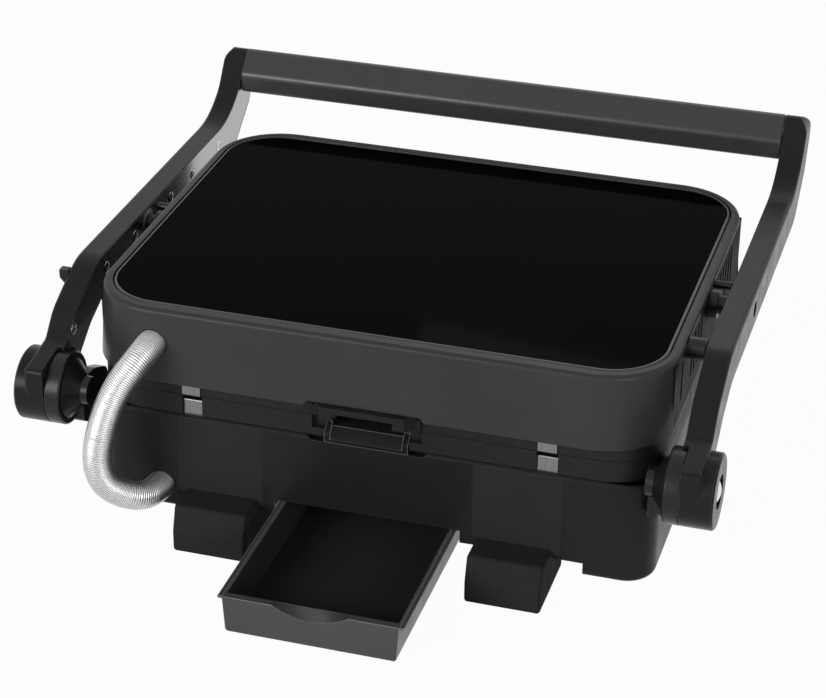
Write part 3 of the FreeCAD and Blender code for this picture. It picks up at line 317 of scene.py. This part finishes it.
def new_piece(name, body, slot, verts, faces, material=None, smooth=True):
    """A piece from points in metres and faces."""
    mesh = bpy.data.meshes.new(name)
    mesh.from_pydata([tuple(v) for v in verts], [], faces)
    mesh.update()
    if smooth:
        mesh.shade_smooth()
    return placed(name, mesh, body, slot, material)


# ------------------------------------------------------------------ flexible conduit
CONDUIT_R = 8.6 * MM
RIB_PITCH = 1.15 * MM
RIB_DEPTH = 0.42 * MM
RIB_PROFILE = (0.0, 0.93, 1.0, 0.93)                  # height at each station of one rib, from its groove
CONDUIT_SIDES = 36
CURVE_STEPS = 24
SPLIT_Z = 82.0 * MM                                   # the two pieces meet where the route passes this height
CONDUIT_POINTS = [(-128.5, -111.65, 128.5), (-128.5, -131.5, 128.5), (-140.5, -145.0, 111.0),
                  (-149.0, -149.5, 86.0), (-154.0, -149.0, 60.0), (-148.5, -143.0, 40.0),
                  (-128.5, -130.0, 30.5), (-128.5, -109.75, 30.5)]


def spline_points(points, steps):
    """Points along the smooth curve that the route's points control."""
    curve = bpy.data.curves.new("route", "CURVE")
    curve.dimensions = "3D"
    spline = curve.splines.new("NURBS")
    spline.points.add(len(points) - 1)
    for p, (x, y, z) in zip(spline.points, points):
        p.co = (x * MM, y * MM, z * MM, 1.0)
    spline.order_u = 3
    spline.use_endpoint_u = True
    spline.resolution_u = steps
    holder = bpy.data.objects.new("route", curve)
    scene.collection.objects.link(holder)
    mesh = bpy.data.meshes.new_from_object(holder)
    found = [v.co.copy() for v in mesh.vertices]
    bpy.data.objects.remove(holder)
    bpy.data.curves.remove(curve)
    bpy.data.meshes.remove(mesh)
    return found


def resampled(points, spacing):
    """The same line as evenly spaced points."""
    lengths = [0.0]
    for a, b in zip(points, points[1:]):
        lengths.append(lengths[-1] + (b - a).length)
    count = max(2, round(lengths[-1] / spacing))
    out, i = [], 0
    for k in range(count + 1):
        s = lengths[-1] * k / count
        while i < len(lengths) - 2 and lengths[i + 1] < s:
            i += 1
        f = (s - lengths[i]) / max(1e-12, lengths[i + 1] - lengths[i])
        out.append(points[i].lerp(points[i + 1], f))
    return out


def rolled_frames(path):
    """Each point of the path with two directions across it that never twist."""
    frames = []
    tangent = (path[1] - path[0]).normalized()
    across = tangent.orthogonal().normalized()
    for i, p in enumerate(path):
        a, b = path[max(0, i - 1)], path[min(len(path) - 1, i + 1)]
        new = (b - a).normalized()
        across = (tangent.rotation_difference(new) @ across).normalized()
        tangent = new
        frames.append((p, across.copy(), new.cross(across)))
    return frames


def ribbed_tube(name, path, first, last):
    """Wound strip between two stations of the path; an attribute of the mesh, 1 at a rib's foot, sets the
    painted shade in its grooves.
    """
    sides = CONDUIT_SIDES
    verts, faces, groove_shades = [], [], []
    frames = rolled_frames(path)
    for i in range(first, last + 1):
        p, u, v = frames[i]
        depth = 1 - RIB_PROFILE[i % len(RIB_PROFILE)]
        r = CONDUIT_R - RIB_DEPTH * depth
        groove_shades += [depth] * sides
        for k in range(sides):
            angle = 2 * math.pi * k / sides
            verts.append(p + (u * math.cos(angle) + v * math.sin(angle)) * r)
    for i in range(last - first):
        for k in range(sides):
            a, b = i * sides + k, i * sides + (k + 1) % sides
            faces.append((a, b, b + sides, a + sides))
    end = (last - first) * sides
    for ring in (range(sides), range(end, end + sides)):
        start = len(verts)
        verts += [verts[k].copy() for k in ring]
        cap = tuple(range(start, start + sides))
        groove_shades += [1.0] * sides
        faces.append(cap[::-1] if ring.start == 0 else cap)
    hose = new_piece(name, None, "conduit_metal", verts, faces)
    hose.data.attributes.new("groove_shade", "FLOAT", "POINT").data.foreach_set("value", groove_shades)
    return hose


route = resampled(spline_points(CONDUIT_POINTS, CURVE_STEPS), RIB_PITCH / len(RIB_PROFILE))
middle = min(range(len(route)), key=lambda i: abs(route[i].z - SPLIT_Z))
upper_hose = ribbed_tube("conduit_upper", route, 0, middle)
lower_hose = ribbed_tube("conduit_lower", route, middle, len(route) - 1)
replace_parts(lower_hose, "conduit")
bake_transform(lower_hose)
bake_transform(upper_hose)


# ------------------------------------------------------------------ cross-head screws
SCREW_R, SCREW_RISE, SCREW_EDGE = 3.6, 0.6, 0.3       # head's radius, dome and rim
SCREW_RINGS, SCREW_SIDES = 12, 48
CROSS_REACH, CROSS_HALF, CROSS_DEEP = 0.62, 0.15, 0.8  # shares of the radius, of the radius and of the dome
ARM_SCREW_X = 184.5
ARM_SCREWS = [(-101.25, 120.7), (-49.25, 137.0), (-4.25, 137.0),
              (56.25, 137.0), (93.75, 137.0), (142.75, 137.0)]


def head_height(x, y):
    """Height of a screw head over its rim, with the cross cut in."""
    reach, half = CROSS_REACH * SCREW_R, CROSS_HALF * SCREW_R
    z = SCREW_RISE * (1 - (math.hypot(x, y) / SCREW_R) ** 2)
    if (abs(x) < reach and abs(y) < half) or (abs(y) < reach and abs(x) < half):
        z -= CROSS_DEEP * SCREW_RISE
    return z


def add_screw(bm, place, axis):
    """A domed head with a cross recess; axis points out of the surface."""
    turn = Vector((0, 0, 1)).rotation_difference(Vector(axis))
    rows = []
    for i in range(SCREW_RINGS + 1):
        r = SCREW_R * i / SCREW_RINGS
        row = []
        for k in range(SCREW_SIDES if i else 1):
            angle = 2 * math.pi * k / SCREW_SIDES
            x, y = r * math.cos(angle), r * math.sin(angle)
            row.append(bm.verts.new(Vector(place) * MM + turn @ Vector((x, y, head_height(x, y))) * MM))
        rows.append(row)
    rows.append([bm.verts.new(v.co - turn @ Vector((0, 0, SCREW_EDGE * MM))) for v in rows[-1]])
    for k in range(SCREW_SIDES):
        bm.faces.new((rows[0][0], rows[1][k], rows[1][(k + 1) % SCREW_SIDES]))
    for inner, outer in zip(rows[1:], rows[2:]):
        for k in range(SCREW_SIDES):
            j = (k + 1) % SCREW_SIDES
            bm.faces.new((inner[k], outer[k], outer[j], inner[j]))


def arm_screw_heads():
    """The screw heads on both arms' inner plates, as one piece."""
    bm = bmesh.new()
    for side in (-1, 1):
        for y, z in ARM_SCREWS:
            add_screw(bm, (side * ARM_SCREW_X, y, z), (-side, 0, 0))
    mesh = bpy.data.meshes.new("arm_screw_heads")
    bm.to_mesh(mesh)
    bm.free()
    mesh.shade_smooth()
    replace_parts(placed("arm_screw_heads", mesh, "arms", "bright_steel"), "arm_screws")


arm_screw_heads()


# ------------------------------------------------------------------ drip tray with its finger recess
tray_low, tray_high = ([v / MM for v in corner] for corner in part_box("drip_tray"))
TRAY_LIP, TRAY_Y1, TRAY_Z1 = tray_high                # half width over the lips, inner end, rim
TRAY_Y0, TRAY_Z0 = tray_low[1:]
TRAY_TOP, TRAY_FLOOR = 51.7, 50.2                     # half widths at the rim and at the floor
TRAY_WALL, TRAY_FRONT = 1.4, 4.6
TRAY_OUT_R, TRAY_IN_R, CORNER_STEPS = 2.0, 1.5, 6     # rounding along the floor
LIP_T, LIP_ROOT = 1.2, 0.5                            # the lip, and how far inside the wall it starts
RIDGE_T = 0.6                                         # what stays of the front wall behind the scoop
SCOOP_R, SCOOP_DEEP, SCOOP_STEPS = 42.0, 6.3, 24


def tray_section(top, floor, z0, r):
    """Left rim, rounded floor, right rim, as x and z."""
    side = []
    for k in range(CORNER_STEPS + 1):
        angle = math.pi / (2 * CORNER_STEPS) * k
        side.append((-floor + r * (1 - math.cos(angle)), z0 + r * (1 - math.sin(angle))))
    left = [(-top, TRAY_Z1)] + side
    return left + [(-x, z) for x, z in reversed(left)]


def drip_tray():
    """The tray with its lips, and a scoop cut from the front wall's top; inner faces have a darker copy of
    the finish as painted shade, outer faces a paler one as painted light.
    """
    outer = tray_section(TRAY_TOP, TRAY_FLOOR, TRAY_Z0, TRAY_OUT_R)
    inner = tray_section(TRAY_TOP - TRAY_WALL, TRAY_FLOOR - TRAY_WALL, TRAY_Z0 + TRAY_WALL, TRAY_IN_R)
    reach = math.sqrt(SCOOP_R ** 2 - (SCOOP_R - SCOOP_DEEP) ** 2)
    steps = range(-SCOOP_STEPS, SCOOP_STEPS + 1)
    across = [reach * math.sin(math.pi / (2 * SCOOP_STEPS) * k) for k in steps]
    scoop = [(x, TRAY_Z1 + SCOOP_R - SCOOP_DEEP - math.sqrt(SCOOP_R ** 2 - x * x)) for x in across]
    front, back = TRAY_Y0 + TRAY_FRONT, TRAY_Y1 - TRAY_WALL
    verts, faces, inside = [], [], []

    def face(points, dark=False):
        start = len(verts)
        verts.extend(Vector(q) * MM for q in points)
        faces.append(tuple(range(start, len(verts))))
        inside.append(1 if dark else 0)

    def along(section, y0, y1, dark):
        for (xa, za), (xb, zb) in zip(section, section[1:]):
            quad = [(xa, y0, za), (xb, y0, zb), (xb, y1, zb), (xa, y1, za)]
            face(quad[::-1] if dark else quad, dark)

    def top(x0, x1, y0, y1):
        face([(x0, y0, TRAY_Z1), (x1, y0, TRAY_Z1), (x1, y1, TRAY_Z1), (x0, y1, TRAY_Z1)])

    along(outer, TRAY_Y0, TRAY_Y1, False)
    along(inner, front, back, True)
    face([(x, TRAY_Y0, z) for x, z in outer + scoop[::-1]])
    face([(x, TRAY_Y1, z) for x, z in reversed(outer)])
    face([(x, front, z) for x, z in reversed(inner)], True)
    face([(x, back, z) for x, z in inner], True)
    ridge = front - RIDGE_T
    for (xa, za), (xb, zb) in zip(scoop, scoop[1:]):
        face([(xa, TRAY_Y0, za), (xb, TRAY_Y0, zb), (xb, ridge, TRAY_Z1), (xa, ridge, TRAY_Z1)], True)
    top(-TRAY_LIP, -reach, TRAY_Y0, ridge)
    top(reach, TRAY_LIP, TRAY_Y0, ridge)
    top(-TRAY_LIP, TRAY_LIP, ridge, front)
    top(-TRAY_LIP, TRAY_LIP, back, TRAY_Y1)
    for side in (-1, 1):
        x0, x1 = sorted((side * (TRAY_TOP - TRAY_WALL), side * TRAY_LIP))
        top(x0, x1, front, back)
        edge, root, z = side * TRAY_LIP, side * (TRAY_TOP - LIP_ROOT), TRAY_Z1 - LIP_T
        rim = [(edge, TRAY_Y0, z), (edge, TRAY_Y1, z), (edge, TRAY_Y1, TRAY_Z1), (edge, TRAY_Y0, TRAY_Z1)]
        face(rim[::side])
        face([(root, TRAY_Y0, z), (root, TRAY_Y1, z), (edge, TRAY_Y1, z), (edge, TRAY_Y0, z)][::side])
        for y, turn in ((TRAY_Y0, side), (TRAY_Y1, -side)):
            face([(root, y, z), (edge, y, z), (edge, y, TRAY_Z1), (root, y, TRAY_Z1)][::turn])
    # Outer faces: a paler finish with painted edge highlights, as painted light; inner faces: a darker copy,
    # as painted shade.
    tray = new_piece("tray_moulding", "tray", "moulded_black", verts, faces,
                     moulded("tray_outside_lit", 0.075, 0.30, ior=1.25, glint=0.50), smooth=False)
    tray.data.materials.append(moulded("tray_inside_shaded", 0.032, 0.30, ior=1.22))
    for polygon, dark in zip(tray.data.polygons, inside):
        polygon.material_index = dark
    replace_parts(tray, "drip_tray")


drip_tray()


# ------------------------------------------------------------------ skirt beside the left rear foot
RETURN_X = (-119.9, -112.3)
RETURN_Y = (-112.2, -109.8)
RETURN_Z = (16.2, 24.95)


def skirt_return():
    """The skirt's short return, an upright outline in x and z pushed along y."""
    (x0, x1), (z0, z1) = RETURN_X, RETURN_Z
    outline = [(x0, z1), (x0, z0), (x1, z0), (x1, z1)]
    verts = [Vector((x, y, z)) * MM for y in RETURN_Y for x, z in outline]
    n = len(outline)
    faces = [tuple(range(n)), tuple(range(2 * n - 1, n - 1, -1))]
    faces += [((k + 1) % n, k, n + k, n + (k + 1) % n) for k in range(n)]
    new_piece("skirt_return", "base", "moulded_black", verts, faces, base_finish, smooth=False)


skirt_return()


# ------------------------------------------------------------------ camera, light and floor
FOCAL, SENSOR = 108.9, 36.0                           # mm
EYE = Vector((0.37350, -1.29739, 0.81156))
AIM = Vector((-0.00306, -0.00780, 0.08936))
ROLL = math.radians(0.751)
SURROUND_LIGHT = 0.10                                 # what the surroundings give as light
WHITE_SHARE = 0.97    # the rest of what the camera sees of the floor is lit, and so keeps the shadow
FLOOR_HALF = 6.0


def photo_camera():
    data = bpy.data.cameras.new("camera")
    data.lens = FOCAL
    data.sensor_width = SENSOR
    data.clip_end = 20.0
    camera = bpy.data.objects.new("camera", data)
    scene.collection.objects.link(camera)
    look = (AIM - EYE).to_track_quat("-Z", "Y").to_matrix().to_4x4()
    camera.matrix_world = Matrix.Translation(EYE) @ look @ Matrix.Rotation(ROLL, 4, "Z")
    scene.camera = camera


def seen_directly(tree):
    """1 for camera, mirror and glass rays, else 0."""
    path = tree.nodes.new("ShaderNodeLightPath")
    total = path.outputs["Is Camera Ray"]
    for name in ("Is Glossy Ray", "Is Transmission Ray"):
        larger = tree.nodes.new("ShaderNodeMath")
        larger.operation = "MAXIMUM"
        tree.links.new(total, larger.inputs[0])
        tree.links.new(path.outputs[name], larger.inputs[1])
        total = larger.outputs[0]
    return total


def white_surroundings():
    """White where it's seen, and dim as a light."""
    world = bpy.data.worlds.new("studio")
    scene.world = world
    world.use_nodes = True
    sky = world.node_tree
    sky.nodes.clear()
    dim = sky.nodes.new("ShaderNodeBackground")
    dim.inputs["Strength"].default_value = SURROUND_LIGHT
    bright = sky.nodes.new("ShaderNodeBackground")
    bright.inputs["Color"].default_value = (1, 1, 1, 1)
    bright.inputs["Strength"].default_value = 1.0
    mix = sky.nodes.new("ShaderNodeMixShader")
    sky.links.new(seen_directly(sky), mix.inputs[0])
    sky.links.new(dim.outputs[0], mix.inputs[1])
    sky.links.new(bright.outputs[0], mix.inputs[2])
    sky.links.new(mix.outputs[0], sky.nodes.new("ShaderNodeOutputWorld").inputs["Surface"])


def white_floor():
    """A pale floor that shows nearly white and keeps the object's shadow."""
    h = FLOOR_HALF
    mesh = bpy.data.meshes.new("floor")
    mesh.from_pydata([(-h, -h, 0), (h, -h, 0), (h, h, 0), (-h, h, 0)], [], [(0, 1, 2, 3)])
    floor = bpy.data.objects.new("floor", mesh)
    scene.collection.objects.link(floor)
    ground = Tree("floor")
    ground.finish(ground.ramp(ground.noise(2.0), grey(0.93), grey(0.96), 0.3, 0.7), Roughness=0.9)
    glow = ground.add("ShaderNodeEmission", Strength=1.0)
    share = ground.add("ShaderNodeMath", operation="MULTIPLY")
    share.inputs[1].default_value = WHITE_SHARE
    ground.link(seen_directly(ground.tree), share.inputs[0])
    blend = ground.add("ShaderNodeMixShader")
    ground.link(share.outputs[0], blend.inputs[0])
    ground.link(ground.shader.outputs[0], blend.inputs[1])
    ground.link(glow.outputs[0], blend.inputs[2])
    ground.link(blend.outputs[0], ground.tree.nodes["Material Output"].inputs["Surface"])
    mesh.materials.append(ground.material)


def softbox(name, place, aim, size, power):
    data = bpy.data.lights.new(name, "AREA")
    data.shape = "RECTANGLE"
    data.size, data.size_y = size
    data.energy = power
    lamp = bpy.data.objects.new(name, data)
    scene.collection.objects.link(lamp)
    lamp.location = place
    lamp.rotation_euler = (Vector(aim) - Vector(place)).to_track_quat("-Z", "Y").to_euler()


photo_camera()
scene.view_settings.view_transform = "Standard"
white_surroundings()
white_floor()
softbox("key", (-1.3, -2.2, 1.0), (0, 0, 0.08), (1.4, 1.0), 38.0)
softbox("fill", (1.8, -1.7, 0.9), (0, 0, 0.08), (1.2, 1.2), 18.0)
softbox("back", (0.3, 1.9, 1.7), (0, 0.05, 0.1), (2.0, 0.7), 5.0)
